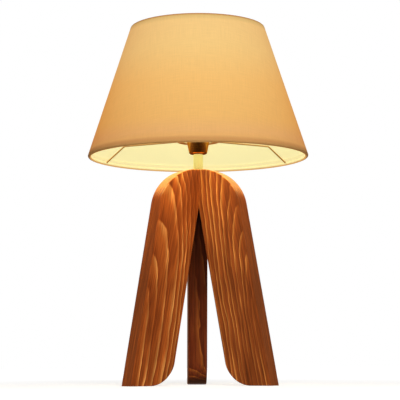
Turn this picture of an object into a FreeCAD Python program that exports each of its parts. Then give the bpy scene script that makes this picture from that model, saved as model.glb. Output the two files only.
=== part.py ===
import FreeCAD, Part
import math
import os

# Tripod table lamp: three mitred boards, a brass stem and lampholder, a screw-in
# bulb and a conical fabric shade on a wire spider.
#
# Millimetres, +Z up. The origin is on the lamp's axis at floor level. Azimuths are
# in degrees: 0 is the front (-Y) and they grow towards the lamp's right (+X).

# ---------------------------------------------------------------- driving sizes

# Legs: flat boards whose inner ends meet in a three-way mitre on the axis.
leg_azimuths = {"leg_front_left": -60.0, "leg_front_right": 60.0, "leg_back": 180.0}
leg_thickness = 26.0
leg_width = 60.0
leg_lean_deg = 10.5
leg_height = 290.5
mitre_height = 54.8            # height of the glued corner between two legs
foot_rounding = 37.5           # inner corner of each foot
crown_margin = 3.6             # flat wood left round the stem
edge_easing = 1.2              # rounding along the long edges

# Threaded tube and what clamps the legs and the stem on it.
tube_radius = 5.0
tube_wall = 1.0
tube_hole_clearance = 0.15
thread_clearance = 0.05
clamped_wood_height = 28.5     # wood between the crown and the counterbore's seat
base_washer_radius = 10.0
base_washer_thickness = 1.5
counterbore_clearance = 1.0
nut_across_flats = 14.0
nut_chamfer = 0.8
base_nut_height = 4.0
tube_tail = 4.0                # tube below the base nut
tube_lead = 1.0                # tube above the lock nut

# Plastic bushing in the tube's lower end.
bushing_bore_radius = 3.25
bushing_plug_length = 8.0
bushing_flange_radius = 6.5
bushing_flange_thickness = 1.5
bushing_clearance = 0.05

# Dowels across each mitre.
dowel_radius = 2.5
dowel_length = 16.0
dowel_clearance = 0.05
dowels_per_mitre = 2

# Stem tube.
stem_radius = 6.75
stem_wall = 1.25
stem_length = 22.5

# Lampholder cup, with its lock washer and nut.
cup_base_radius = 12.0
cup_rim_radius = 15.3
cup_height = 16.6
cup_wall = 1.0
cup_edge_rounding = 2.0
cup_rim_land = 0.8             # width of the cup's flat rim
cup_neck_depth = 6.0           # how far the skirt's neck reaches into the cup
lock_washer_radius = 8.0
lock_washer_thickness = 0.8
lock_nut_height = 3.5

# Lampholder skirt: neck, floor and threaded barrel.
skirt_radius = 19.6
skirt_wall = 1.2
skirt_floor = 1.2
skirt_height = 31.4
neck_wall = 1.2
fit_clearance = 0.1

# Insulating insert and the live parts in it.
insert_floor = 5.2
insert_rim_drop = 1.0          # insert's rim below the skirt's rim
insert_plug_drop = 1.6         # insert's plug below the skirt's neck
shell_radius = 13.9
shell_wall = 0.5
shell_rim_drop = 1.0
contact_radius = 4.0
contact_thickness = 1.0
contact_bump_radius = 2.0
contact_bump_height = 1.2
terminal_spacing = 16.0
terminal_head_radius = 2.2
terminal_head_height = 1.4
terminal_shank_radius = 1.5
terminal_shank_length = 6.0

# Rings that hold the shade.
moving_gap = 0.3               # between pieces that move past each other
lower_ring_radius = 29.0
lower_ring_plate = 1.2
lower_ring_edge_rounding = 0.5
lower_ring_hub_radius = 23.5
lower_ring_hub_height = 1.6
upper_ring_radius = 25.0
upper_ring_plate = 2.0
upper_ring_hub_radius = 23.5
upper_ring_height = 7.0
grip_notches = 16
grip_notch_radius = 0.9

# Wire spider.
spider_ring_radius = 26.0
spider_ring_thickness = 2.0
spider_hole_clearance = 0.7
arm_azimuths = {"shade_arm_front": 0.0, "shade_arm_back_right": 120.0, "shade_arm_back_left": -120.0}
arm_radius = 1.1
arm_knee_radius = 117.0        # axis to the bend in each arm
arm_bend_radius = 8.0
spider_drop = 22.5             # arms' plane down to the bottom wire

# Shade.
shade_bottom_radius = 150.0
shade_top_radius = 92.5
shade_height = 180.0
fabric_wall = 0.6
lining_wall = 0.5
lining_gap = 0.1
hem_wall = 0.45
hem_gap = 0.05
bottom_wire_radius = 1.5
top_wire_radius = 1.1

# Bulb: heights are measured up from the tip of its contact.
bulb_cap_radius = 13.1
bulb_cap_wall = 0.4
bulb_cap_rim = 25.5
bulb_tip_radius = 4.8
bulb_tip_height = 1.6
bulb_tip_bevel = 0.6
bulb_insulator_radius = 9.5
bulb_insulator_top = 4.6
bulb_cap_shoulder = 7.5        # where the cap reaches its full radius
bulb_neck_radius = 14.6
bulb_neck_top = 31.0
bulb_housing_radius = 26.1
bulb_housing_top = 62.0
bulb_housing_wall = 1.6
bulb_waist_radius = 20.5
bulb_waist_height = 45.0
bulb_spigot_length = 7.0       # housing's neck inside the cap
led_board_thickness = 1.6
led_board_ledge = 2.0
led_count = 10
led_circle_radius = 15.0
led_side = 3.0
led_height = 0.8
driver_length = 32.0
driver_thickness = 1.6
capacitor_radius = 4.0
capacitor_length = 14.0
capacitor_rise = 12.0          # capacitor's foot above the driver board's foot
globe_radius = 30.0
globe_wall = 1.2

# ----------------------------------------------------------------- worked-out sizes

lean = math.tan(math.radians(leg_lean_deg))
leg_level_width = leg_width / math.cos(math.radians(leg_lean_deg))
half_mitre = math.radians(180.0 / len(leg_azimuths))
seam_inset = leg_thickness / 2 / math.tan(half_mitre)
seam_radius = leg_thickness / 2 / math.sin(half_mitre)
foot_radius = leg_level_width + seam_inset + (leg_height - mitre_height) * lean

tube_hole_radius = tube_radius + tube_hole_clearance
nut_bore_radius = tube_radius + thread_clearance
counterbore_radius = base_washer_radius + counterbore_clearance
seat_z = leg_height - clamped_wood_height
base_nut_z = seat_z - base_washer_thickness - base_nut_height
tube_foot_z = base_nut_z - tube_tail

cup_z = leg_height + stem_length
cup_floor_z = cup_z + cup_wall
lock_nut_z = cup_floor_z + lock_washer_thickness
tube_head_z = lock_nut_z + lock_nut_height + tube_lead
cup_rim_z = cup_z + cup_height

neck_radius = cup_rim_radius - cup_rim_land - cup_wall - fit_clearance
neck_z = cup_rim_z - cup_neck_depth
skirt_floor_z = cup_rim_z + skirt_floor
skirt_rim_z = cup_rim_z + skirt_height
plug_radius = neck_radius - neck_wall - fit_clearance
plug_z = neck_z - insert_plug_drop
insert_radius = skirt_radius - skirt_wall - fit_clearance
insert_floor_z = skirt_floor_z + insert_floor
insert_rim_z = skirt_rim_z - insert_rim_drop
shell_rim_z = insert_rim_z - shell_rim_drop
contact_top_z = insert_floor_z + contact_thickness + contact_bump_height

ring_bore_radius = skirt_radius + moving_gap
lower_ring_top_z = cup_rim_z + lower_ring_hub_height
spider_z = lower_ring_top_z + moving_gap
arm_z = spider_z + spider_ring_thickness / 2
upper_ring_z = spider_z + spider_ring_thickness + moving_gap

bottom_hem_radius = bottom_wire_radius + hem_gap + hem_wall
top_hem_radius = top_wire_radius + hem_gap + hem_wall
bottom_wire_z = arm_z - spider_drop
bottom_wire_circle = shade_bottom_radius - bottom_hem_radius
shade_top_z = bottom_wire_z - bottom_hem_radius + shade_height
top_wire_z = shade_top_z - top_hem_radius
top_wire_circle = shade_top_radius - top_hem_radius

bulb_z = contact_top_z + moving_gap
bulb_inner_spigot = bulb_cap_radius - bulb_cap_wall - fit_clearance - bulb_housing_wall

origin = FreeCAD.Vector(0, 0, 0)
up = FreeCAD.Vector(0, 0, 1)


# ------------------------------------------------------------------------- shapes

def point(radius, azimuth, z=0.0):
    """Point at a radius from the axis, in the direction of an azimuth."""
    angle = math.radians(azimuth)
    return FreeCAD.Vector(radius * math.sin(angle), -radius * math.cos(angle), z)


def outline(corners):
    """Flat face in the XZ plane. Corners are (x, z) or (x, z, rounding)."""
    points = [FreeCAD.Vector(corner[0], 0, corner[1]) for corner in corners]
    roundings = [corner[2] if len(corner) > 2 else 0.0 for corner in corners]
    arcs = []
    for index, (corner, rounding) in enumerate(zip(points, roundings)):
        back = (points[index - 1] - corner).normalize()
        ahead = (points[(index + 1) % len(points)] - corner).normalize()
        half_angle = back.getAngle(ahead) / 2
        inward = (back + ahead).normalize()
        tangent = rounding / math.tan(half_angle)
        nearest = corner + inward * (rounding / math.sin(half_angle) - rounding)
        arcs.append((corner + back * tangent, nearest, corner + ahead * tangent))
    edges = []
    for index, (start, nearest, end) in enumerate(arcs):
        if roundings[index] > 0:
            edges.append(Part.Arc(start, nearest, end).toShape())
        following = arcs[(index + 1) % len(arcs)][0]
        edges.append(Part.LineSegment(end, following).toShape())
    return Part.Face(Part.Wire(edges))


def turned(corners):
    """Solid turned about the lamp's axis from the corners of half its section."""
    return outline(corners).revolve(origin, up, 360)


def tube(outer, inner, low, high):
    """Round tube on the axis."""
    return turned([(inner, low), (outer, low), (outer, high), (inner, high)])


def rod(radius, low, high):
    """Round bar on the axis."""
    return Part.makeCylinder(radius, high - low, FreeCAD.Vector(0, 0, low))


def torus(circle, section, z):
    """Ring of round section about the axis."""
    return Part.makeTorus(circle, section, FreeCAD.Vector(0, 0, z))


def hex_nut(height, low):
    """Hexagon nut on the threaded tube, its corners bevelled on both faces."""
    corner_radius = nut_across_flats / math.sqrt(3)
    corners = [point(corner_radius, 60 * side, low) for side in range(7)]
    blank = Part.Face(Part.makePolygon(corners)).extrude(up * height)
    flat_radius = corner_radius - nut_chamfer
    bevels = turned([
        (nut_bore_radius, low),
        (flat_radius, low),
        (corner_radius, low + nut_chamfer / 2),
        (corner_radius, low + height - nut_chamfer / 2),
        (flat_radius, low + height),
        (nut_bore_radius, low + height),
    ])
    return blank.common(bevels)


# --------------------------------------------------------------------------- legs

def board():
    """One leg along +X before its mitre: a leaning board with two rounded corners."""
    crown_corner = foot_radius - leg_height * lean
    crown_flat = stem_radius + crown_margin
    quarter_turn = math.radians(90 - leg_lean_deg) / 2
    shoulder_rounding = (crown_corner - crown_flat) / math.tan(quarter_turn)
    side = outline([
        (foot_radius, 0),
        (crown_corner, leg_height, shoulder_rounding),
        (crown_corner - leg_level_width, leg_height),
        (foot_radius - leg_level_width, 0, foot_rounding),
    ])
    side.translate(FreeCAD.Vector(0, -leg_thickness / 2, 0))
    solid = side.extrude(FreeCAD.Vector(0, leg_thickness, 0))
    long_edges = [edge for edge in solid.Edges if abs(edge.tangentAt(edge.FirstParameter).y) < 0.5]
    return solid.makeFillet(edge_easing, long_edges)


def mitre_wedge():
    """Upright wedge with its edge on the axis, which a leg along +X fills."""
    reach = 2 * foot_radius
    spread = reach * math.tan(half_mitre)
    corners = [origin, FreeCAD.Vector(reach, -spread, 0), FreeCAD.Vector(reach, spread, 0), origin]
    return Part.Face(Part.makePolygon(corners)).extrude(up * leg_height)


def mitre_dowels(radius, length):
    """Two short bars across each mitre, between the tube's hole and the corner."""
    bars = []
    circle = (tube_hole_radius + seam_radius) / 2
    pitch = clamped_wood_height / (dowels_per_mitre + 1)
    for azimuth in leg_azimuths.values():
        seam_azimuth = azimuth + math.degrees(half_mitre)
        across = point(1, seam_azimuth + 90)
        for row in range(dowels_per_mitre):
            middle = point(circle, seam_azimuth, seat_z + pitch * (row + 1))
            bars.append(Part.makeCylinder(radius, length, middle - across * (length / 2), across))
    return Part.makeCompound(bars)


def legs():
    """The three legs, drilled for the tube and the dowels and counterbored below."""
    leg = board().common(mitre_wedge())
    hole = rod(tube_hole_radius, seat_z, leg_height)
    counterbore = rod(counterbore_radius, 0, seat_z)
    dowel_holes = mitre_dowels(dowel_radius + dowel_clearance, dowel_length + dowel_clearance)
    nodes = {}
    for name, azimuth in leg_azimuths.items():
        turned_leg = leg.copy()
        turned_leg.rotate(origin, up, azimuth - 90)
        nodes[name] = turned_leg.cut([hole, counterbore, dowel_holes])
    nodes["mitre_dowels"] = mitre_dowels(dowel_radius, dowel_length)
    return nodes


# --------------------------------------------------------- tube, stem and cup

def clamp():
    """Threaded tube, its bushing, and the washers and nuts on it."""
    tube_bore_radius = tube_radius - tube_wall
    bushing_foot_z = tube_foot_z - bushing_flange_thickness
    plug_outside = tube_bore_radius - bushing_clearance
    washer_hole_radius = tube_hole_radius
    return {
        "threaded_tube": tube(tube_radius, tube_bore_radius, tube_foot_z, tube_head_z),
        "cord_bushing": turned([
            (bushing_bore_radius, bushing_foot_z),
            (bushing_flange_radius, bushing_foot_z),
            (bushing_flange_radius, tube_foot_z),
            (plug_outside, tube_foot_z),
            (plug_outside, tube_foot_z + bushing_plug_length),
            (bushing_bore_radius, tube_foot_z + bushing_plug_length),
        ]),
        "base_washer": tube(base_washer_radius, washer_hole_radius, seat_z - base_washer_thickness, seat_z),
        "base_nut": hex_nut(base_nut_height, base_nut_z),
        "cup_lock_washer": tube(lock_washer_radius, washer_hole_radius, cup_floor_z, lock_nut_z),
        "cup_lock_nut": hex_nut(lock_nut_height, lock_nut_z),
    }


def stem_and_cup():
    """Tube that stands on the crown, and the tapered cup on top of it."""
    rim_inside = neck_radius + fit_clearance
    taper = (cup_rim_radius - cup_base_radius) / cup_height
    land_z = neck_z - fit_clearance
    land_inside = cup_base_radius - cup_wall + taper * (land_z - cup_z)
    return {
        "stem_tube": tube(stem_radius, stem_radius - stem_wall, leg_height, cup_z),
        "holder_cup": turned([
            (tube_hole_radius, cup_z),
            (cup_base_radius, cup_z, cup_edge_rounding),
            (cup_rim_radius, cup_rim_z),
            (rim_inside, cup_rim_z),
            (rim_inside, land_z),
            (min(rim_inside, land_inside), land_z),
            (cup_base_radius - cup_wall, cup_floor_z, cup_edge_rounding - cup_wall),
            (tube_hole_radius, cup_floor_z),
        ]),
    }


# ------------------------------------------------------------------- lampholder

def terminal_screws(clearance=0.0):
    """Two screws that come up into the insert's plug from inside the cup."""
    screws = []
    for azimuth in (90, -90):
        middle = point(terminal_spacing / 2, azimuth, plug_z)
        shank = Part.makeCylinder(terminal_shank_radius + clearance, terminal_shank_length, middle)
        head_foot = middle - up * terminal_head_height
        head = Part.makeCylinder(terminal_head_radius, terminal_head_height, head_foot)
        screws.append(shank.fuse(head))
    return screws


def lampholder():
    """Skirt screwed into the cup, the insert in it, and the live parts."""
    skirt = turned([
        (neck_radius - neck_wall, neck_z),
        (neck_radius, neck_z),
        (neck_radius, cup_rim_z),
        (skirt_radius, cup_rim_z),
        (skirt_radius, skirt_rim_z),
        (skirt_radius - skirt_wall, skirt_rim_z),
        (skirt_radius - skirt_wall, skirt_floor_z),
        (neck_radius - neck_wall, skirt_floor_z),
    ])
    well_radius = shell_radius + fit_clearance
    insert = turned([
        (0, plug_z),
        (plug_radius, plug_z),
        (plug_radius, skirt_floor_z),
        (insert_radius, skirt_floor_z),
        (insert_radius, insert_rim_z),
        (well_radius, insert_rim_z),
        (well_radius, insert_floor_z),
        (0, insert_floor_z),
    ])
    contact = turned([
        (0, insert_floor_z),
        (contact_radius, insert_floor_z),
        (contact_radius, insert_floor_z + contact_thickness),
        (contact_bump_radius, insert_floor_z + contact_thickness),
        (contact_bump_radius, contact_top_z),
        (0, contact_top_z),
    ])
    return {
        "holder_skirt": skirt,
        "holder_insert": insert.cut(terminal_screws(thread_clearance)),
        "holder_screw_shell": tube(shell_radius, shell_radius - shell_wall, insert_floor_z, shell_rim_z),
        "holder_centre_contact": contact,
        "holder_terminal_screws": Part.makeCompound(terminal_screws()),
    }


def shade_rings():
    """Flange under the spider, and the threaded ring that clamps it from above."""
    lower = turned([
        (skirt_radius + fit_clearance, cup_rim_z),
        (lower_ring_radius, cup_rim_z, lower_ring_edge_rounding),
        (lower_ring_radius, cup_rim_z + lower_ring_plate, lower_ring_edge_rounding),
        (lower_ring_hub_radius, cup_rim_z + lower_ring_plate),
        (lower_ring_hub_radius, lower_ring_top_z),
        (skirt_radius + fit_clearance, lower_ring_top_z),
    ])
    upper = turned([
        (ring_bore_radius, upper_ring_z),
        (upper_ring_radius, upper_ring_z),
        (upper_ring_radius, upper_ring_z + upper_ring_plate),
        (upper_ring_hub_radius, upper_ring_z + upper_ring_plate),
        (upper_ring_hub_radius, upper_ring_z + upper_ring_height),
        (ring_bore_radius, upper_ring_z + upper_ring_height),
    ])
    notches = []
    for notch in range(grip_notches):
        foot = point(upper_ring_hub_radius, 360 * notch / grip_notches, upper_ring_z + upper_ring_plate)
        notches.append(Part.makeCylinder(grip_notch_radius, upper_ring_height, foot))
    return {"lower_shade_ring": lower, "upper_shade_ring": upper.cut(notches)}


# ------------------------------------------------------------------------- shade

def arm(azimuth):
    """Bent wire from the spider's ring out to the knee and down to the bottom wire."""
    inner_end = point(spider_ring_radius, azimuth, arm_z)
    knee = point(arm_knee_radius, azimuth, arm_z)
    outer_end = point(bottom_wire_circle, azimuth, bottom_wire_z)
    back = (inner_end - knee).normalize()
    ahead = (outer_end - knee).normalize()
    half_angle = back.getAngle(ahead) / 2
    tangent = arm_bend_radius / math.tan(half_angle)
    inward = (back + ahead).normalize()
    bend_start = knee + back * tangent
    bend_end = knee + ahead * tangent
    bend_middle = knee + inward * (arm_bend_radius / math.sin(half_angle) - arm_bend_radius)
    path = Part.Wire([
        Part.LineSegment(inner_end, bend_start).toShape(),
        Part.Arc(bend_start, bend_middle, bend_end).toShape(),
        Part.LineSegment(bend_end, outer_end).toShape(),
    ])
    section = Part.Wire(Part.makeCircle(arm_radius, inner_end, back))
    return path.makePipeShell([section], True, True)


def cone_shell(outset, wall, bottom_z, top_z):
    """Shell that follows the shade's slope, its outside set in by outset."""
    bottom = shade_bottom_radius - outset
    top = shade_top_radius - outset
    return turned([(bottom - wall, bottom_z), (bottom, bottom_z), (top, top_z), (top - wall, top_z)])


def hem(circle, z, wire_radius):
    """Cloth rolled round a wire ring."""
    roll = torus(circle, wire_radius + hem_gap + hem_wall, z)
    return roll.cut(torus(circle, wire_radius + hem_gap, z))


def shade():
    """Spider, wire rings, hems, cloth and lining, which all turn together."""
    bottom_roll = torus(bottom_wire_circle, bottom_hem_radius, bottom_wire_z)
    top_roll = torus(top_wire_circle, top_hem_radius, top_wire_z)
    bottom_wire = torus(bottom_wire_circle, bottom_wire_radius, bottom_wire_z)
    arms = {name: arm(azimuth).cut(bottom_wire) for name, azimuth in arm_azimuths.items()}
    cloth = cone_shell(0, fabric_wall, bottom_wire_z, top_wire_z)
    lining = cone_shell(fabric_wall + lining_gap, lining_wall, bottom_wire_z, top_wire_z)
    hole_radius = skirt_radius + spider_hole_clearance
    return {
        "shade_spider_ring": tube(spider_ring_radius, hole_radius, spider_z, spider_z + spider_ring_thickness),
        "shade_bottom_wire": bottom_wire,
        "shade_top_wire": torus(top_wire_circle, top_wire_radius, top_wire_z),
        "shade_bottom_hem": hem(bottom_wire_circle, bottom_wire_z, bottom_wire_radius).cut(list(arms.values())),
        "shade_top_hem": hem(top_wire_circle, top_wire_z, top_wire_radius),
        "shade_fabric": cloth.cut([bottom_roll, top_roll]),
        "shade_lining": lining.cut([bottom_roll, top_roll]),
        **arms,
    }


# -------------------------------------------------------------------------- bulb

def bulb_base():
    """Tip contact, glass insulator and screw cap."""
    tip_top = bulb_z + bulb_tip_height
    insulator_top = bulb_z + bulb_insulator_top
    inside = bulb_cap_radius - bulb_cap_wall
    cap_rim_z = bulb_z + bulb_cap_rim
    return {
        "bulb_tip_contact": turned([
            (0, bulb_z),
            (bulb_tip_radius - bulb_tip_bevel, bulb_z),
            (bulb_tip_radius, bulb_z + bulb_tip_bevel),
            (bulb_tip_radius, tip_top),
            (0, tip_top),
        ]),
        "bulb_insulator": turned([
            (0, tip_top),
            (bulb_tip_radius, tip_top),
            (bulb_insulator_radius, insulator_top),
            (0, insulator_top),
        ]),
        "bulb_cap": turned([
            (0, insulator_top),
            (bulb_insulator_radius, insulator_top),
            (bulb_cap_radius, bulb_z + bulb_cap_shoulder),
            (bulb_cap_radius, cap_rim_z),
            (inside, cap_rim_z),
            (inside, bulb_z + bulb_cap_shoulder),
            (bulb_insulator_radius - bulb_cap_wall, insulator_top + bulb_cap_wall),
            (0, insulator_top + bulb_cap_wall),
        ]),
    }


def bulb_housing():
    """Opaque cone that stands on the cap, with a ledge for the light board."""
    spigot_radius = bulb_cap_radius - bulb_cap_wall - fit_clearance
    cap_rim_z = bulb_z + bulb_cap_rim
    top_z = bulb_z + bulb_housing_top
    seat_radius = bulb_housing_radius - bulb_housing_wall
    ledge_z = top_z - led_board_thickness
    return turned([
        (bulb_inner_spigot, cap_rim_z - bulb_spigot_length),
        (spigot_radius, cap_rim_z - bulb_spigot_length),
        (spigot_radius, cap_rim_z),
        (bulb_neck_radius, cap_rim_z),
        (bulb_neck_radius, bulb_z + bulb_neck_top),
        (bulb_waist_radius, bulb_z + bulb_waist_height),
        (bulb_housing_radius, top_z),
        (seat_radius, top_z),
        (seat_radius, ledge_z),
        (seat_radius - led_board_ledge, ledge_z),
        (bulb_waist_radius - bulb_housing_wall, bulb_z + bulb_waist_height),
        (bulb_inner_spigot, bulb_z + bulb_neck_top),
    ])


def bulb_electronics():
    """Upright driver board in the housing's neck, and the light board on its ledge."""
    driver_z = bulb_z + bulb_cap_rim - bulb_spigot_length
    half_width = bulb_inner_spigot - fit_clearance
    driver_corner = FreeCAD.Vector(-half_width, -driver_thickness / 2, driver_z)
    capacitor_foot = FreeCAD.Vector(0, driver_thickness / 2 + capacitor_radius, driver_z + capacitor_rise)
    board_top_z = bulb_z + bulb_housing_top
    board_radius = bulb_housing_radius - bulb_housing_wall - fit_clearance
    chips = []
    for chip in range(led_count):
        azimuth = 360 * chip / led_count
        corner = FreeCAD.Vector(led_circle_radius - led_side / 2, -led_side / 2, board_top_z)
        solid = Part.makeBox(led_side, led_side, led_height, corner)
        solid.rotate(origin, up, azimuth)
        chips.append(solid)
    return {
        "bulb_driver_board": Part.makeBox(2 * half_width, driver_thickness, driver_length, driver_corner),
        "bulb_driver_capacitor": Part.makeCylinder(capacitor_radius, capacitor_length, capacitor_foot),
        "bulb_led_board": rod(board_radius, board_top_z - led_board_thickness, board_top_z),
        "bulb_leds": Part.makeCompound(chips),
    }


def bulb_globe():
    """Round diffuser that stands on the housing's rim."""
    rim_z = bulb_z + bulb_housing_top
    centre_rise = math.sqrt(globe_radius ** 2 - bulb_housing_radius ** 2)
    centre = FreeCAD.Vector(0, 0, rim_z + centre_rise)
    ball = Part.makeSphere(globe_radius, centre).cut(Part.makeSphere(globe_radius - globe_wall, centre))
    return ball.common(rod(globe_radius, rim_z, rim_z + centre_rise + globe_radius))


def bulb():
    """All pieces that turn with the bulb."""
    return {
        **bulb_base(),
        "bulb_housing": bulb_housing(),
        **bulb_electronics(),
        "bulb_globe": bulb_globe(),
    }


# ------------------------------------------------------------------------- write

os.makedirs("parts", exist_ok=True)
nodes = {**legs(), **clamp(), **stem_and_cup(), **lampholder(), **shade_rings(), **shade(), **bulb()}
for node, shape in nodes.items():
    shape.exportStep(f"parts/{node}.step")
    print(f"{node}: {len(shape.Solids)} solid(s), {shape.Volume / 1000:.2f} cm3, valid {shape.isValid()}")
print(f"feet reach {foot_radius:.1f}, crown at {leg_height:.1f}, shade from "
      f"{bottom_wire_z - bottom_hem_radius:.1f} to {shade_top_z:.1f}, bulb top "
      f"{nodes['bulb_globe'].BoundBox.ZMax:.1f}")
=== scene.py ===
# %% [markdown]
# # A tripod table lamp, dressed
# The lamp is three stained pine boards, a short brass tube with a cup, and a cloth cone that hangs on three
# wire arms. It is switched on. Its pieces were drawn at real size elsewhere, and this lesson loads them as
# a fixed frame. Each step then gives a piece its true shape or its finish. Blender counts in metres, +Z is
# up, the lamp's axis is on the origin and its front is towards -Y. The lamp's own sizes are in millimetres
# here, as on a drawing, times MM where Blender gets them.

# %% Load the lamp
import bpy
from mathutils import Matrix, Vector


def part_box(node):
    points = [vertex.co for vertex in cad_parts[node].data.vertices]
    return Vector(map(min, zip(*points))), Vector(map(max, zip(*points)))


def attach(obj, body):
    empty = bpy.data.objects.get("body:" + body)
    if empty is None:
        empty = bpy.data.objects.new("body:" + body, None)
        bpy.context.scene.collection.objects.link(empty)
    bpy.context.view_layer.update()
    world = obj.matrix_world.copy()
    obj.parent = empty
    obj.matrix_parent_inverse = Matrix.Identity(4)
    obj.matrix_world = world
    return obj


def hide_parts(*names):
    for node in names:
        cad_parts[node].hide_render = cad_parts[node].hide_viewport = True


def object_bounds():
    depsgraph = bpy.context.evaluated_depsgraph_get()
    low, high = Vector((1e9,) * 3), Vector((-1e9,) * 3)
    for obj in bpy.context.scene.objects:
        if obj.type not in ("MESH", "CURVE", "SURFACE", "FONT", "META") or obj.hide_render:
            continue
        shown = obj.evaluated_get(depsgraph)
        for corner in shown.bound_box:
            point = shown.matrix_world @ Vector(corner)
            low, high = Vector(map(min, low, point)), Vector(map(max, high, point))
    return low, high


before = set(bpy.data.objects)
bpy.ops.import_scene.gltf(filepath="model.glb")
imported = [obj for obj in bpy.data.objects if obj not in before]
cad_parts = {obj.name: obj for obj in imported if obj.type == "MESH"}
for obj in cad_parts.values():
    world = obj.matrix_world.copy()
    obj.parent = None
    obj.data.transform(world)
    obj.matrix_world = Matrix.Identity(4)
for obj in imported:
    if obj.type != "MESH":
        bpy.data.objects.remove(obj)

cad_box = [list(corner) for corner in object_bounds()]
print("loaded", len(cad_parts), "nodes; box", cad_box)

# %% Blender's own modules, and two words for units
import math

import bmesh
import bpy
from bmesh.types import BMEdge, BMFace, BMVert
from mathutils import Matrix, Vector

MM = 0.001
FULL_TURN = math.tau
scene = bpy.context.scene

# %% [markdown]
# ## Camera
# The view is from a little above the floor, tilted up, with a fairly long lens. A lens setting can be
# guessed by eye, but here it comes from a fit: the feet, the boards' edges and the shade's two rims were
# matched in one model of the camera. The lamp is turned a little about its axis in that fit, so the camera
# goes round it.

# %% Camera
FRAME_PIXELS = 400
LENS_IN_PIXELS = 1468.4
SENSOR_WIDTH = 36.0  # mm
CAMERA_DISTANCE = 1.9854  # metres, like the two below
CAMERA_HEIGHT = 0.0300
CAMERA_SIDE = 0.0023
TILT_UP = 0.1105  # radians, like the two below
ROLL = -0.0044
LAMP_TURN = 0.0376

camera_data = bpy.data.cameras.new("camera")
camera_data.sensor_width = SENSOR_WIDTH
camera_data.lens = LENS_IN_PIXELS / FRAME_PIXELS * SENSOR_WIDTH
camera = bpy.data.objects.new("camera", camera_data)
scene.collection.objects.link(camera)
camera.matrix_world = (
    Matrix.Rotation(-LAMP_TURN, 4, "Z")
    @ Matrix.Translation((CAMERA_SIDE, -CAMERA_DISTANCE, CAMERA_HEIGHT))
    @ Matrix.Rotation(math.pi / 2 + TILT_UP, 4, "X")
    @ Matrix.Rotation(ROLL, 4, "Z")
)
scene.camera = camera
print(f"camera lens {camera_data.lens:.1f} mm")

# %% [markdown]
# ## Colours and nodes
# A hex value is what a picture shows (sRGB), but shaders count light, so every colour goes through one
# function. Three small helpers start a finish, add one node to it, and join values or other nodes to a
# node.

# %% Colour and node helpers
def colour(code):
    """Linear colour from an sRGB hex value such as "#c08040"."""
    shares = [int(code[place:place + 2], 16) / 255 for place in (1, 3, 5)]
    linear = [share / 12.92 if share <= 0.04045 else ((share + 0.055) / 1.055) ** 2.4 for share in shares]
    return (*linear, 1.0)


def join(material, node, inputs):
    """Give inputs, by name or in order, a value, a hex colour, a socket or a node's first output."""
    for name, value in (inputs.items() if isinstance(inputs, dict) else enumerate(inputs)):
        if isinstance(value, bpy.types.Node):
            value = value.outputs[0]
        if isinstance(value, bpy.types.NodeSocket):
            material.node_tree.links.new(value, node.inputs[name])
        else:
            node.inputs[name].default_value = colour(value) if isinstance(value, str) else value


def add(material, kind, inputs=(), span=(), stops=(), **settings):
    """Add a node, such as "Math ADD". A span is a map's range in and out, stops are a ramp's pairs."""
    kind, *operations = kind.split()
    node = material.node_tree.nodes.new("ShaderNode" + kind)
    for operation in operations:
        node.operation = operation
    for name, value in settings.items():
        setattr(node, name, value)
    join(material, node, inputs)
    join(material, node, dict(zip(("From Min", "From Max", "To Min", "To Max"), span)))
    for index, (place, shade) in enumerate(stops):
        elements = node.color_ramp.elements
        element = elements[index] if index < len(elements) else elements.new(place)
        element.position = place
        element.color = colour(shade) if isinstance(shade, str) else (shade, shade, shade, 1.0)
    return node


def start_finish(name, inputs):
    """A material, its Principled shader with plain values set, and a socket with a point's own place."""
    material = bpy.data.materials.new(name)
    material.use_nodes = True
    shader = material.node_tree.nodes["Principled BSDF"]
    join(material, shader, inputs)
    return material, shader, add(material, "TexCoord").outputs["Object"]


# %% [markdown]
# ## Studio
# The lamp stands on a plain white floor in soft light. White could come from much light, but that would
# bleach the lamp too. So floor and surroundings glow, but only where the Light Path node says that the
# camera or a reflection looks, and the light on the lamp stays at a level where colours come out as
# written. The floor's glow is weaker round the lamp, which keeps a faint soft shadow, and stronger where it
# meets the surroundings.

# %% Surroundings
AMBIENT_LEVEL = 0.15


def seen_directly(tree_owner):
    """1 where a ray comes from the camera, a reflection or a transparent surface, otherwise 0."""
    path = add(tree_owner, "LightPath").outputs
    near = add(tree_owner, "Math MAXIMUM", [path["Is Camera Ray"], path["Is Glossy Ray"]])
    return add(tree_owner, "Math MAXIMUM", [near, path["Is Transmission Ray"]])


world = bpy.data.worlds.new("white_studio")
world.use_nodes = True
scene.world = world
lighting = world.node_tree.nodes["Background"]
join(world, lighting, {"Color": "#ffffff", "Strength": AMBIENT_LEVEL})
backdrop = add(world, "Background", {"Color": "#ffffff", "Strength": 1.0})
choice = add(world, "MixShader", [seen_directly(world), lighting, backdrop])
join(world, world.node_tree.nodes["World Output"], {"Surface": choice})

# %% Floor
FLOOR_RADIUS = 6.0  # metres
FLOOR_DROP = 0.05 * MM
NEAR_GLOW, NEAR_RADIUS = 0.64, 0.25  # the glow up to this distance from the lamp's axis, in metres
FAR_GLOW, FAR_RADIUS = 0.95, 1.2  # and the glow from this distance on


def placed(name, mesh, finish=None):
    """An object in the scene that holds a mesh."""
    data = bpy.data.meshes.new(name)
    mesh.to_mesh(data)
    mesh.free()
    if finish:
        data.materials.append(finish)
    made = bpy.data.objects.new(name, data)
    scene.collection.objects.link(made)
    return made


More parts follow.
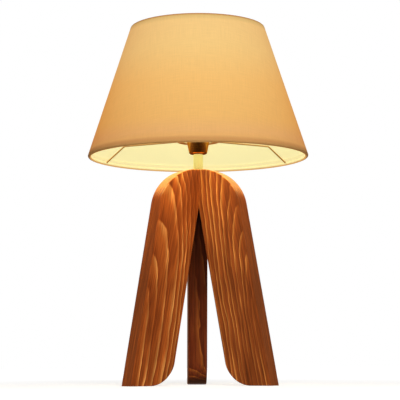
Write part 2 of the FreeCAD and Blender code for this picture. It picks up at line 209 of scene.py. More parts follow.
paint, paint_shader, paint_place = start_finish("painted_studio_floor", {
    "Base Color": "#c8c8c8", "Roughness": 0.7, "Specular IOR Level": 0.0, "Emission Color": "#ffffff"})
floor_reach = add(paint, "VectorMath LENGTH", [paint_place]).outputs["Value"]
floor_level = add(paint, "MapRange", [floor_reach], span=(NEAR_RADIUS, FAR_RADIUS, NEAR_GLOW, FAR_GLOW))
floor_glow = add(paint, "Math MULTIPLY", [seen_directly(paint), floor_level])
join(paint, paint_shader, {"Emission Strength": floor_glow})
floor_mesh = bmesh.new()
bmesh.ops.create_circle(floor_mesh, cap_ends=True, segments=64, radius=FLOOR_RADIUS,
                        matrix=Matrix.Translation((0, 0, -FLOOR_DROP)))
placed("floor", floor_mesh, paint)

# %% [markdown]
# ## Dark curtain
# Polished brass and oiled wood need something dark to mirror, or they look like plaster. A photographer
# hangs a dark curtain for that, and lets its foot lie on the floor under the lamp. Here its section is spun
# all the way round. Only reflections can see it: it casts no shadow and stays out of the picture. It is
# darkest by the camera and catches a little light further round.

# %% Dark curtain
CURTAIN_RADIUS = 0.75  # metres, like its height
CURTAIN_HEIGHT = 1.1
CURTAIN_GLOW = (0.08, 0.7)  # by the camera, and from a little behind the lamp on


def spin_round(mesh, steps):
    """Spin all points and edges a full turn about the lamp's axis and close the ring."""
    bmesh.ops.spin(mesh, geom=mesh.verts[:] + mesh.edges[:], axis=(0, 0, 1), angle=FULL_TURN, steps=steps,
                   use_merge=True)


drape, drape_shader, drape_place = start_finish("dark_brown_curtain", {
    "Base Color": "#1c0f06", "Roughness": 1.0, "Specular IOR Level": 0.0, "Emission Color": "#b08060"})
side_light = add(drape, "MapRange", [add(drape, "SeparateXYZ", [drape_place]).outputs["Y"]],
                 span=(-CURTAIN_RADIUS, CURTAIN_RADIUS / 4, *CURTAIN_GLOW))
join(drape, drape_shader, {"Emission Strength": side_light})
curtain_mesh = bmesh.new()
section = [curtain_mesh.verts.new((0, -radius, height)) for radius, height in (
    (0, MM), (CURTAIN_RADIUS, MM), (CURTAIN_RADIUS, CURTAIN_HEIGHT))]
for fold in zip(section, section[1:]):
    curtain_mesh.edges.new(fold)
spin_round(curtain_mesh, steps=64)
curtain = placed("dark_curtain", curtain_mesh, drape)
for sight in ("camera", "diffuse", "transmission", "shadow"):
    setattr(curtain, "visible_" + sight, False)

# %% [markdown]
# ## Soft lights
# A large softbox near the camera lights the front, two weak ones keep the flanks from going black, and one
# stands behind. A sun would draw hard shadows. The softboxes stay out of reflections, because the brass
# should mirror the lining and the curtain.

# %% Soft lights
SOFTBOXES = (  # name, side in metres, watts, azimuth, elevation, distance in metres
    ("key_softbox", 1.1, 25.0, 4, 24, 2.0),
    ("left_fill", 1.4, 3.8, -70, 20, 2.2),
    ("right_fill", 1.4, 3.8, 80, 20, 2.2),
    ("back_fill", 1.4, 5.0, 180, 25, 2.4),
)


def aim(light, azimuth, elevation, distance):
    """Place a light round the lamp's middle and turn it there. Azimuth 0 is the front, 90 the right."""
    angle, rise = math.radians(azimuth), math.radians(elevation)
    middle = Vector((0, 0, (cad_box[0][2] + cad_box[1][2]) / 2))
    towards = Vector((math.sin(angle) * math.cos(rise), -math.cos(angle) * math.cos(rise), math.sin(rise)))
    turn = towards.to_track_quat("Z", "Y").to_matrix().to_4x4()
    light.matrix_world = Matrix.Translation(middle + towards * distance) @ turn


def unmirrored_light(name, kind, watts, code="#ffffff", **settings):
    """A light, still at the origin, that reflections don't show."""
    data = bpy.data.lights.new(name, kind)
    data.energy = watts
    data.color = colour(code)[:3]
    for setting, value in settings.items():
        setattr(data, setting, value)
    light = bpy.data.objects.new(name, data)
    light.visible_glossy = False
    scene.collection.objects.link(light)
    return light


for name, side, watts, azimuth, elevation, distance in SOFTBOXES:
    aim(unmirrored_light(name, "AREA", watts, size=side), azimuth, elevation, distance)
print(len(SOFTBOXES), "softboxes")

# %% [markdown]
# ## Shaping helpers
# Most metal and glass here is turned: a closed outline spun about the axis. The outline is drawn as one
# flat face, its corners are rounded with a bevel, and the spin does the rest. Faces are smooth, and only
# edges that turn sharply stay crisp.

# %% Shaping helpers
SHARP_ANGLE = math.radians(32)
MERGE_DISTANCE = 0.001 * MM


def picked(items, kind):
    """Only the points, edges or faces out of what an operator made."""
    return [item for item in items if isinstance(item, kind)]


def outwards(mesh):
    """Turn every face outwards."""
    bmesh.ops.recalc_face_normals(mesh, faces=mesh.faces)


def flat_outline(corners, base=0.0):
    """A mesh with one face in the XZ plane. Corners are (x, z) or (x, z, rounding), z above the base."""
    mesh = bmesh.new()
    face = mesh.faces.new([mesh.verts.new((x * MM, 0, (base + z) * MM)) for x, z, *rounding in corners])
    rounded = [(vertex, corner[2]) for vertex, corner in zip(face.verts, corners) if len(corner) > 2]
    for vertex, rounding in rounded:
        bmesh.ops.bevel(mesh, geom=[vertex], offset=rounding * MM, offset_type="OFFSET",
                        segments=max(3, round(rounding)), profile=0.5, affect="VERTICES", material=-1)
    return mesh


def close_up(mesh):
    """Merge doubled points, then turn every face outwards."""
    bmesh.ops.remove_doubles(mesh, verts=mesh.verts, dist=MERGE_DISTANCE)
    bmesh.ops.dissolve_degenerate(mesh, edges=mesh.edges, dist=MERGE_DISTANCE / 2)
    outwards(mesh)


def turned(corners, steps=64, base=0.0):
    """A closed outline of half a section, spun a full turn about the lamp's axis."""
    mesh = flat_outline(corners, base)
    bmesh.ops.delete(mesh, geom=mesh.faces[:], context="FACES_ONLY")
    on_axis = [edge for edge in mesh.edges if all(vertex.co.x < MERGE_DISTANCE for vertex in edge.verts)]
    bmesh.ops.delete(mesh, geom=on_axis, context="EDGES")
    spin_round(mesh, steps)
    close_up(mesh)
    return mesh


def turn_round(mesh, angle):
    """Turn a mesh about the lamp's axis."""
    bmesh.ops.rotate(mesh, verts=mesh.verts, cent=(0, 0, 0), matrix=Matrix.Rotation(angle, 3, "Z"))


def piece(name, mesh, finish, body, nodes):
    """Make the finished object, let it ride on its body and stand for its CAD nodes."""
    for face in mesh.faces:
        face.smooth = True
    for edge in mesh.edges:
        edge.smooth = edge.calc_face_angle(0) < SHARP_ANGLE
    made = placed(name, mesh, finish)
    shading = made.modifiers.new("even_shading", "WEIGHTED_NORMAL")
    shading.keep_sharp = True
    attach(made, body)
    if nodes:
        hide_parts(*nodes)
    print(f"{name}: {len(made.data.polygons)} faces")
    return made


# %% [markdown]
# ## Pine boards
# Each leg is one planed board, 26 mm thick and 60 mm wide, with a big rounding at its shoulder and a
# smaller one inside its foot. The long edges are eased with sandpaper. At the top the three boards meet in
# mitres at 120 degrees. A board is cut here as in the shop: saw the outline, plane the thickness, ease the
# edges, and cut both mitres with a plane. Then it is turned to its place, and drilled.

# %% Board sizes
BOARD_THICKNESS = 26.0
BOARD_WIDTH = 60.0
LEAN = math.radians(10.5)
CROWN_HEIGHT = 290.5
SHOULDER_TANGENT = 48.0  # mm from the shoulder's corner to where its rounding starts
FOOT_TANGENT = 31.2  # and the same at the foot
EDGE_EASING = 1.2
MITRE_ANGLE = math.radians(60)

foot_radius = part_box("leg_back")[1][1] / MM
level_width = BOARD_WIDTH / math.cos(LEAN)
crown_corner = foot_radius - CROWN_HEIGHT * math.tan(LEAN)
print(f"feet reach {foot_radius:.1f} mm from the axis")

# %% Saw, plane and mitre one board
def sawn_board():
    """A leg that points along +X, before its mitres."""
    mesh = flat_outline([
        (foot_radius, 0),
        (crown_corner, CROWN_HEIGHT, SHOULDER_TANGENT),
        (crown_corner - level_width, CROWN_HEIGHT),
        (foot_radius - level_width, 0, FOOT_TANGENT),
    ])
    bmesh.ops.translate(mesh, verts=mesh.verts, vec=(0, -BOARD_THICKNESS / 2 * MM, 0))
    grown = bmesh.ops.extrude_face_region(mesh, geom=mesh.faces[:])
    bmesh.ops.translate(mesh, verts=picked(grown["geom"], BMVert), vec=(0, BOARD_THICKNESS * MM, 0))
    outwards(mesh)
    lengthwise = [edge for edge in mesh.edges
                  if abs(edge.verts[0].co.y - edge.verts[1].co.y) < MERGE_DISTANCE]
    bmesh.ops.bevel(mesh, geom=lengthwise, offset=EDGE_EASING * MM, offset_type="OFFSET", segments=3,
                    profile=0.5, affect="EDGES", material=-1)
    return mesh


def cut_off(mesh, point, normal):
    """Cut away what lies beyond a plane, on the side that its normal points to."""
    return bmesh.ops.bisect_plane(mesh, geom=mesh.verts[:] + mesh.edges[:] + mesh.faces[:], plane_co=point,
                                  plane_no=normal, dist=MERGE_DISTANCE, clear_outer=True)


def mitre(mesh, side):
    """Cut a board along the upright plane that it shares with its neighbour."""
    normal = (-math.sin(MITRE_ANGLE), side * math.cos(MITRE_ANGLE), 0)
    cut = cut_off(mesh, (0, 0, 0), normal)
    bmesh.ops.contextual_create(mesh, geom=picked(cut["geom_cut"], BMEdge))


# %% Drill with a Boolean
TUBE_HOLE_RADIUS = 5.15
COUNTERBORE_RADIUS = 11.0
COUNTERBORE_TOP = 262.0
DRILL_OVERRUN = 1.0  # mm that the drill passes the wood at both ends


def drill(mesh):
    """Cut the tube's hole, the wide counterbore below it, and the holes of the dowels."""
    drill_top = CROWN_HEIGHT + DRILL_OVERRUN
    bit = turned([
        (0, -DRILL_OVERRUN), (COUNTERBORE_RADIUS, -DRILL_OVERRUN), (COUNTERBORE_RADIUS, COUNTERBORE_TOP),
        (TUBE_HOLE_RADIUS, COUNTERBORE_TOP), (TUBE_HOLE_RADIUS, drill_top), (0, drill_top),
    ])
    dowels = bmesh.new()
    dowels.from_mesh(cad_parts["mitre_dowels"].data)
    bmesh.ops.remove_doubles(dowels, verts=dowels.verts, dist=MERGE_DISTANCE)
    blank, *cutters = [placed("loose", part) for part in (mesh.copy(), bit, dowels)]
    for cutter in cutters:
        boolean = blank.modifiers.new("drill", "BOOLEAN")
        boolean.operation = "DIFFERENCE"
        boolean.solver = "EXACT"
        boolean.object = cutter
    drilled = bpy.data.meshes.new_from_object(blank.evaluated_get(bpy.context.evaluated_depsgraph_get()))
    mesh.clear()
    mesh.from_mesh(drilled)
    bpy.data.meshes.remove(drilled)
    for leftover in (blank, *cutters):
        bpy.data.objects.remove(leftover)


# %% [markdown]
# ## Stained pine
# Softwood grows in rings, and stain turns them round: the soft early wood drinks it and goes dark, the hard
# late wood stays light and ends in a sharp line where the next year starts. A board shows long flames where
# it cuts the rings at a low angle, and narrow lines where it cuts them steeply. A Wave texture only draws
# stripes, so here the rings are real: the distance of each point from the log's heart, divided into years.
# The heart runs along the board's outer edge and slowly leaves its face towards the top, which draws the
# flames. Noise drawn out along the board bends the rings and gives fibres, bundles and clouds of stain.

# %% Growth rings
RING_SPAN = 110.0  # mm from the heart to the last ring that a board can show
FLAME_START = 60.0  # mm up the board where the heart starts to leave the face
FLAME_REACH = 166.0  # mm from there to where the leaving is as large as flame_depth
FLAME_CURVE = 1.3  # above 1 the heart leaves the face slowly at first
RING_BENDS = ((40.0, 70.0, 6.0), (9.0, 22.0, 2.6))  # mm: width, length and height, slow and small bends


def along_board(wood, place, azimuth):
    """Coordinates of one leg's board: X out of its outer edge, Y through its thickness, Z up along it."""
    facing = add(wood, "Mapping", {
        "Vector": place, "Rotation": (0, 0, math.radians(90 - azimuth)),
        "Location": (-foot_radius * MM, 0, 0)})
    return add(wood, "Mapping", {"Vector": facing, "Rotation": (0, LEAN, 0)})


def streaks(wood, board, width, length, detail=2.0):
    """Noise drawn out along the grain, with its width and length in millimetres."""
    scale = (1000 / width, 1000 / width, 1000 / length)
    drawn_out = add(wood, "Mapping", {"Vector": board, "Scale": scale})
    return add(wood, "TexNoise", {"Vector": drawn_out, "Scale": 1.0, "Detail": detail})


def season_of(wood, board, shown_face, flame_depth, ring_radii, outer_ring):
    """0 to 1 through each year of growth. Ring radii are millimetres from the log's heart."""
    parts = add(wood, "SeparateXYZ", [board]).outputs
    climb = add(wood, "MapRange", [parts["Z"]],
                span=(FLAME_START * MM, (FLAME_START + 2 * FLAME_REACH) * MM, 0.0, 2.0))
    flame = add(wood, "Math POWER", [climb, FLAME_CURVE])
    face_depth = add(wood, "Math MULTIPLY_ADD", [parts["Y"], -shown_face, BOARD_THICKNESS / 2 * MM])
    depth = add(wood, "Math MULTIPLY_ADD", [flame, flame_depth * MM, face_depth])
    from_heart = add(wood, "CombineXYZ", {"X": parts["X"], "Y": depth})
    radius = add(wood, "VectorMath LENGTH", [from_heart]).outputs["Value"]
    for width, length, height in RING_BENDS:
        swing = add(wood, "MapRange", [streaks(wood, board, width, length, 1.0)],
                    span=(0.0, 1.0, -height * MM / 2, height * MM / 2))
        radius = add(wood, "Math ADD", [radius, swing])
    years = len(ring_radii) + (RING_SPAN - ring_radii[-1]) / outer_ring
    places = [(ring / RING_SPAN, (count + 1) / years) for count, ring in enumerate(ring_radii)]
    share = add(wood, "Math MULTIPLY", [radius, 1 / (RING_SPAN * MM)])
    year = add(wood, "ValToRGB", [share], stops=[(0.0, 0.0), *places, (1.0, 1.0)])
    count = add(wood, "Math MULTIPLY", [year, years])
    return add(wood, "Math FRACT", [count])


# %% [markdown]
# ## Stain, painted highlight and painted shade on the boards
# Stain isn't even. It gathers in fibres and soft clouds. The shoulders' rounding is painted pale: a painted
# highlight for the lamp's light and the lining's reflection on it. The back board's browns are darker as a
# whole, and darker still at its foot and in the fork along its inner edge: painted shade, since soft lights
# alone don't leave it that dark.

# %% Stained pine
FIBRE = (1.2, 40.0)  # mm across and along a fibre; real fibres are finer, these are coarse enough to show
BUNDLE = (2.6, 110.0)  # a bundle of fibres that took the same stain
CLOUD = (22.0, 90.0)  # a darker or lighter cloud of stain
FIBRE_SWING, BUNDLE_SWING, CLOUD_SWING = 0.36, 0.24, 0.12  # how far each goes to both sides of the tone
NOISE_RANGE = (0.3, 0.7)  # where nearly all of a noise lies
CLOUDED_RINGS = (0.3, 0.65, 0.35, 1.05)  # clouds from low to high, and how strongly the rings show there
EDGE_CALM = 3.0  # mm from the outer edge over which the rings fade in
EDGE_RINGS, EDGE_PLAIN = 0.25, 0.12  # on the outer edge itself: strength of the rings, and a plain tone
# The shoulder's pale skin is a painted highlight: the lamp's light and the lining's reflection on the
# rounding.
HIGHLIGHT_DEPTH = 2.0  # mm in from the shoulder over which the painted highlight reaches
HIGHLIGHT_HEIGHTS = (8.0, 26.0)  # mm up from the rounding's start, where the painted highlight starts and is full
HIGHLIGHT_SHARE = 0.75
FORK_SHADE_HEIGHTS = (60.0, 220.0)  # mm up the board, between which its inner edge grows darker with painted shade
FORK_SHADE_DEPTHS = (4.0, 14.0)  # mm in from the inner edge, between which that painted shade ends
FOOT_SHADE_HEIGHT = 12.0  # mm of the foot that gets painted shade, where it faces the floor
GRAIN_RELIEF = 0.2  # mm


def painted_shoulder_highlight(wood, board):
    """How much painted highlight the skin of the shoulder's rounding gets: 0 everywhere else."""
    rounding = SHOULDER_TANGENT * math.tan((math.pi / 2 + LEAN) / 2)
    tangent_height = CROWN_HEIGHT / math.cos(LEAN) - SHOULDER_TANGENT
    centred = add(wood, "VectorMath", [board, (rounding * MM, 0, -tangent_height * MM)])
    flat = add(wood, "VectorMath MULTIPLY", [centred, (1, 0, 1)])
    radius = add(wood, "VectorMath LENGTH", [flat]).outputs["Value"]
    skin = add(wood, "MapRange", [radius],
               span=((rounding - HIGHLIGHT_DEPTH) * MM, rounding * MM, 0.0, HIGHLIGHT_SHARE))
    height = add(wood, "SeparateXYZ", [centred]).outputs["Z"]
    up_there = add(wood, "MapRange", [height], span=[edge * MM for edge in HIGHLIGHT_HEIGHTS])
    return add(wood, "Math MULTIPLY", [skin, up_there])


def painted_shade_places(wood, place, board, fork_shade_tone, foot_shade_tone):
    """Two painted-shade tones that are 1 on most of a board and less in the fork and at the foot."""
    parts = add(wood, "SeparateXYZ", [board]).outputs
    heights = [height * MM for height in FORK_SHADE_HEIGHTS]
    depths = [(depth - BOARD_WIDTH) * MM for depth in FORK_SHADE_DEPTHS]
    climb = add(wood, "MapRange", [parts["Z"]], span=(*heights, 1.0, fork_shade_tone))
    fork = add(wood, "MapRange", [parts["X"]], span=(*depths, climb, 1.0))
    level = add(wood, "SeparateXYZ", [place]).outputs["Z"]
    low = add(wood, "MapRange", [level], span=(FOOT_SHADE_HEIGHT * MM / 2, FOOT_SHADE_HEIGHT * MM, foot_shade_tone, 1.0))
    outer = add(wood, "MapRange", [parts["X"]], span=(-FOOT_TANGENT * 1.5 * MM, -FOOT_TANGENT * MM))
    return fork, add(wood, "Math MAXIMUM", [low, outer])


def stained_pine(name, azimuth, shown_face, flame_depth, ring_radii, outer_ring, late_share, browns,
                 fork_shade_tone=1.0, foot_shade_tone=1.0):
    """Pine under stain and oil. Browns: early, middle and late wood, and the shoulders' painted highlight.
    """
    wood, shader, place = start_finish(name, {"Roughness": 0.32, "IOR": 1.48, "Specular IOR Level": 0.3})
    board = along_board(wood, place, azimuth)
    season = season_of(wood, board, shown_face, flame_depth, ring_radii, outer_ring)
    light = add(wood, "ValToRGB", [season], stops=[  # dark early wood, light late wood, a sharp dark line
        (0.0, 0.0), (max(0.05, 1 - 2.6 * late_share), 0.16), (1 - late_share, 0.5), (0.94, 0.92),
        (1.0, 0.1)])

    fibre = streaks(wood, board, *FIBRE, 3.0)
    bundle = streaks(wood, board, *BUNDLE)
    cloud = streaks(wood, board, *CLOUD)
    inward = add(wood, "SeparateXYZ", [board]).outputs["X"]
    clouded = add(wood, "MapRange", [cloud], span=CLOUDED_RINGS)
    edge = add(wood, "MapRange", [inward], span=(-EDGE_CALM * MM, 0.0, 1.0, EDGE_RINGS))
    strength = add(wood, "Math MULTIPLY", [clouded, edge])
    plain = add(wood, "MapRange", [inward], span=(-EDGE_CALM * MM, 0.0, 0.0, EDGE_PLAIN))
    lightness = add(wood, "Math MULTIPLY_ADD", [light, strength, plain])
    lightness = add(wood, "Math ADD", [lightness, painted_shoulder_highlight(wood, board)])
    ring = add(wood, "ValToRGB", [lightness], stops=list(zip((0.0, 0.36, 0.9, 1.0), browns)))

    tone = 1.0
    for noise, swing in ((fibre, FIBRE_SWING), (cloud, CLOUD_SWING), (bundle, BUNDLE_SWING)):
        streak = add(wood, "MapRange", [noise], span=(*NOISE_RANGE, 1 - swing, 1 + swing))
        tone = add(wood, "Math MULTIPLY", [tone, streak])
    # Painted shade in the fork and at the foot.
    for painted_shade_factor in painted_shade_places(wood, place, board, fork_shade_tone, foot_shade_tone):
        tone = add(wood, "Math MULTIPLY", [tone, painted_shade_factor])
    stained = add(wood, "VectorMath SCALE", {0: ring, "Scale": tone})
    relief = add(wood, "Math MULTIPLY_ADD", [light, 0.5, fibre])
    bump = add(wood, "Bump", {"Height": relief, "Strength": 0.3, "Distance": GRAIN_RELIEF * MM})
    join(wood, shader, {"Base Color": stained, "Normal": bump})
    return wood


# %% The three boards and their finishes
# The last of each board's browns is the painted highlight on its shoulder.
PINE = {  # ring radii, the years beyond them and the flame's depth are in mm
    "front_left": {
        "name": "stained_pine_flat_sawn", "azimuth": -60, "shown_face": 1, "flame_depth": 32.0,
        "ring_radii": (10, 19.5, 32, 45, 51, 56, 61), "outer_ring": 5.0, "late_share": 0.30,
        "browns": ("#843a11", "#ac561e", "#e49c50", "#c49c68")},
    "front_right": {
        "name": "stained_pine_quarter_sawn", "azimuth": 60, "shown_face": -1, "flame_depth": 20.0,
        "ring_radii": (7, 13, 17.5, 24, 28.5, 35.5, 40, 47.5, 52, 59), "outer_ring": 5.8,
        "late_share": 0.26, "browns": ("#823e16", "#9c4e1b", "#dc9042", "#c49c68")},
    # The back board's darker browns, and its fork and foot tones, are painted shade from the front boards
    # and the floor.
    "back": {
        "name": "stained_pine_painted_shade", "azimuth": 180, "shown_face": 1, "flame_depth": 14.0,
        "ring_radii": (5, 9, 14, 18, 23, 27, 32), "outer_ring": 4.4, "late_share": 0.3,
        "browns": ("#64260c", "#7c3614", "#a85a20", "#c07c3c"), "fork_shade_tone": 0.3, "foot_shade_tone": 0.3},
}
for board_name, sawing in PINE.items():
    board_mesh = sawn_board()
    mitre(board_mesh, 1)
    mitre(board_mesh, -1)
    turn_round(board_mesh, math.radians(sawing["azimuth"] - 90))
    drill(board_mesh)
    close_up(board_mesh)
    piece("board_" + board_name, board_mesh, stained_pine(**sawing), "stand", ["leg_" + board_name])

# %% [markdown]
# ## Brass
# The stem and the cup are spun and polished brass under clear lacquer. Polished metal takes its look from
# what it mirrors: here the lit lining, and the boards below. A real polish is never perfect, so fine rings
# left by the lathe and the polishing wheel break the mirror a little. Metal goes pale where it is seen at a
# low angle. The cup is browner brass and has dark edges, so its Specular Tint, which colours that low
# angle, is brown too.

# %% Brass finishes
LATHE_RING = 0.35  # mm between the fine rings of the lathe
WORN_RANGE = (0.6, 1.4)  # where nearly all of the two noises' sum lies
WORN_ROUGHNESS = (0.7, 1.35)  # how far the roughness goes with it


def lathed_metal(name, code, roughness, ring_depth, edge_tint="#ffffff"):
    """Metal turned on the lathe: faint rings about the axis in roughness and relief. Depth is in mm."""
    metal, shader, place = start_finish(name, {
        "Base Color": code, "Metallic": 1.0, "Specular Tint": edge_tint})
    flat = add(metal, "VectorMath MULTIPLY", [place, (1, 1, 0)])
    radius = add(metal, "VectorMath LENGTH", [flat]).outputs["Value"]
    height = add(metal, "SeparateXYZ", [place]).outputs["Z"]
    section = add(metal, "CombineXYZ", {"X": radius, "Z": height})
    rings = add(metal, "TexNoise", {"Vector": section, "Scale": 1000 / LATHE_RING, "Detail": 2.0})
    wear = add(metal, "TexNoise", {"Vector": place, "Scale": 120.0, "Detail": 3.0})
    blend = add(metal, "Math ADD", [rings, wear])
    worn = [roughness * share for share in WORN_ROUGHNESS]
    rough = add(metal, "MapRange", [blend], span=(*WORN_RANGE, *worn))
    bump = add(metal, "Bump", {"Height": rings, "Strength": 0.3, "Distance": ring_depth * MM})
    join(metal, shader, {"Roughness": rough, "Normal": bump})
    return metal


polished_brass = lathed_metal("polished_brass", "#f6ecb8", 0.12, 0.004)
browned_brass = lathed_metal("browned_brass", "#c88c44", 0.16, 0.004, edge_tint="#c88a4c")
satin_brass = lathed_metal("satin_brass", "#dca45a", 0.34, 0.02, edge_tint="#ffd492")

# %% Stem and cup
FINE_STEPS = 96  # round the turned pieces that the picture shows large
STEM_RADIUS = 6.75
STEM_WALL = 1.25
CUP_BASE = 12.0
CUP_RIM = 15.3
CUP_WALL = 1.0
cup_low, cup_high = (corner[2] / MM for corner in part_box("holder_cup"))

piece("stem", turned([
    (STEM_RADIUS - STEM_WALL, CROWN_HEIGHT), (STEM_RADIUS, CROWN_HEIGHT), (STEM_RADIUS, cup_low),
    (STEM_RADIUS - STEM_WALL, cup_low),
]), polished_brass, "stand", ["stem_tube"])
piece("cup", turned([
    (TUBE_HOLE_RADIUS, cup_low), (CUP_BASE, cup_low, 2.0), (CUP_RIM, cup_high, 0.35),
    (CUP_RIM - 0.8, cup_high), (CUP_RIM - CUP_WALL - 0.9, cup_high - 6.0),
    (CUP_BASE - CUP_WALL, cup_low + CUP_WALL, 1.0), (TUBE_HOLE_RADIUS, cup_low + CUP_WALL),
], FINE_STEPS), browned_brass, "stand", ["holder_cup"])

# %% [markdown]
# ## Threaded barrel and shade rings
# The lampholder's barrel is pressed brass with a rolled thread outside, and two rings on it hold the shade:
# a flange below, and a threaded ring with grip notches above. A thread is a helix, which spin makes when
# each step also rises. A stack of plain ridges would be simpler, but a screw thread has one end where it
# starts.

# %% Threaded barrel
BARREL_RADIUS = 19.6
BARREL_WALL = 1.2
BARREL_PITCH = 2.5
BARREL_TURNS = 10
THREAD_DEPTH = 0.4
THREAD_ROOT = 0.1  # mm that a thread's ridge runs into the barrel
THREAD_STEPS = 48  # in each turn of a thread
NECK_RADIUS = 13.4


def swept(outline, angle, steps, rise=0.0, base=0.0):
    """A closed section in the XZ plane, swung round the axis while it rises, and closed at both ends."""
    mesh = flat_outline(outline, base)
    bmesh.ops.delete(mesh, geom=mesh.faces[:], context="FACES_ONLY")
    first = mesh.edges[:]
    made = bmesh.ops.spin(mesh, geom=mesh.verts[:] + first, axis=(0, 0, 1), angle=angle, steps=steps,
                          dvec=(0, 0, rise * MM / steps))
    bmesh.ops.contextual_create(mesh, geom=first)
    bmesh.ops.contextual_create(mesh, geom=picked(made["geom_last"], BMEdge))
    outwards(mesh)
    return mesh


def fuse(meshes):
    """One mesh that holds several."""
    whole = bmesh.new()
    for part in meshes:
        data = bpy.data.meshes.new("part")
        part.to_mesh(data)
        part.free()
        whole.from_mesh(data)
        bpy.data.meshes.remove(data)
    return whole


neck_foot, barrel_top = (corner[2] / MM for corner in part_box("holder_skirt"))
barrel_root = BARREL_RADIUS - THREAD_DEPTH
bore, neck_bore = BARREL_RADIUS - BARREL_WALL, NECK_RADIUS - BARREL_WALL
barrel = turned([
    (neck_bore, neck_foot), (NECK_RADIUS, neck_foot), (NECK_RADIUS, cup_high), (barrel_root, cup_high, 0.4),
    (barrel_root, barrel_top), (bore, barrel_top), (bore, cup_high + BARREL_WALL),
    (neck_bore, cup_high + BARREL_WALL),
], FINE_STEPS)
ridge = swept([
    (barrel_root - THREAD_ROOT, 3.4), (BARREL_RADIUS, 3.9), (BARREL_RADIUS, 4.5),
    (barrel_root - THREAD_ROOT, 5.0),
], FULL_TURN * BARREL_TURNS, THREAD_STEPS * BARREL_TURNS, rise=BARREL_PITCH * BARREL_TURNS, base=cup_high)
piece("threaded_barrel", fuse([barrel, ridge]), polished_brass, "stand", ["holder_skirt"])

# %% Shade rings
FLANGE_RADIUS = 29.0
FLANGE_PLATE = 1.2
HUB_RADIUS = 23.5
ring_low, ring_top = (corner[2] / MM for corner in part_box("lower_shade_ring"))
plate_top = ring_low + FLANGE_PLATE
piece("shade_flange", turned([
    (BARREL_RADIUS + 0.1, ring_low), (FLANGE_RADIUS, ring_low, 0.5), (FLANGE_RADIUS, plate_top, 0.5),
    (HUB_RADIUS, plate_top), (HUB_RADIUS, ring_top, 0.2), (BARREL_RADIUS + 0.1, ring_top),
], FINE_STEPS), satin_brass, "stand", ["lower_shade_ring"])

# %% [markdown]
# ## Clamp ring
# The upper ring has sixteen half-round notches, so that fingers grip it. They could be cut from a turned
# blank with Booleans. Here the blank is spun in short steps instead, and each point of its rim that lies
# near a notch's middle moves in along a circle, which keeps the mesh clean.

# %% Clamp ring
GRIP_NOTCHES = 16
NOTCH_STEPS = 24  # round the ring for each notch
NOTCH_RADIUS = 0.9
CLAMP_PLATE = 2.0
CLAMP_RADIUS = 25.0
clamp_low, clamp_high = (corner[2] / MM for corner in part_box("upper_shade_ring"))
clamp_bore = BARREL_RADIUS + 0.3
clamp_step = clamp_low + CLAMP_PLATE
clamp_mesh = turned([
    (clamp_bore, clamp_low), (CLAMP_RADIUS, clamp_low, 0.4), (CLAMP_RADIUS, clamp_step, 0.4),
    (HUB_RADIUS, clamp_step), (HUB_RADIUS, clamp_high, 0.3), (clamp_bore, clamp_high),
], GRIP_NOTCHES * NOTCH_STEPS)
notch_angle = FULL_TURN / GRIP_NOTCHES
for vertex in clamp_mesh.verts:
    radius = math.hypot(vertex.co.x, vertex.co.y)
    on_hub = vertex.co.z > clamp_step * MM - MERGE_DISTANCE
    if on_hub and (HUB_RADIUS - 1) * MM < radius < (HUB_RADIUS + 0.1) * MM:
        angle = math.atan2(vertex.co.x, -vertex.co.y)
        away = abs(angle - notch_angle * round(angle / notch_angle)) * HUB_RADIUS
        if away < NOTCH_RADIUS:
            depth = math.sqrt(NOTCH_RADIUS ** 2 - away ** 2) * MM
            pull = min(1.0, (radius - depth) / radius)
            vertex.co.x *= pull
            vertex.co.y *= pull
piece("clamp_ring", clamp_mesh, satin_brass, "clamp_ring", ["upper_shade_ring"])

# %% [markdown]
# ## Wire spider
# A flat ring carries three arms of 2.2 mm steel wire, all brass plated. Each arm runs out level, bends once
# and goes down to the wire in the lower hem, where it is spot welded. A curve with a round bevel would do,
# but a circle that is pushed straight, spun round the bend and pushed straight again is what the wire
# bender does.

# %% Brassed wire
brassed_wire, wire_shader, wire_place = start_finish("brass_plated_wire", {
    "Base Color": "#eec48c", "Metallic": 1.0})
wire_cloud = add(brassed_wire, "TexNoise", {"Vector": wire_place, "Scale": 300.0, "Detail": 3.0})
join(brassed_wire, wire_shader, {
    "Roughness": add(brassed_wire, "MapRange", [wire_cloud], span=(0.0, 1.0, 0.35, 0.6))})

# %% Spider
ARM_AZIMUTHS = {"front": 0, "back_right": 120, "back_left": -120}
ARM_RADIUS = 1.1
KNEE_RADIUS = 117.0
BEND_RADIUS = 8.0
SPIDER_RADIUS = 26.0
WELD_DEPTH = 0.6  # mm that an arm runs into what it is welded to
BOTTOM_WIRE = 1.5
spider_low, spider_high = (corner[2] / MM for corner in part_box("shade_spider_ring"))
arm_height = (spider_low + spider_high) / 2
wire_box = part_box("shade_bottom_wire")
bottom_circle = wire_box[1][0] / MM - BOTTOM_WIRE
bottom_height = (wire_box[0][2] + wire_box[1][2]) / 2 / MM

piece("spider_ring", turned([
    (BARREL_RADIUS + 0.7, spider_low, 0.3), (SPIDER_RADIUS, spider_low, 0.5),
    (SPIDER_RADIUS, spider_high, 0.5), (BARREL_RADIUS + 0.7, spider_high, 0.3),
], FINE_STEPS), brassed_wire, "shade", ["shade_spider_ring"])


def pushed(mesh, end, move):
    """Extrude the wire's end face by a move, and return the new end face."""
    made = bmesh.ops.extrude_face_region(mesh, geom=[end])["geom"]
    bmesh.ops.translate(mesh, verts=picked(made, BMVert), vec=move)
    return picked(made, BMFace)[0]


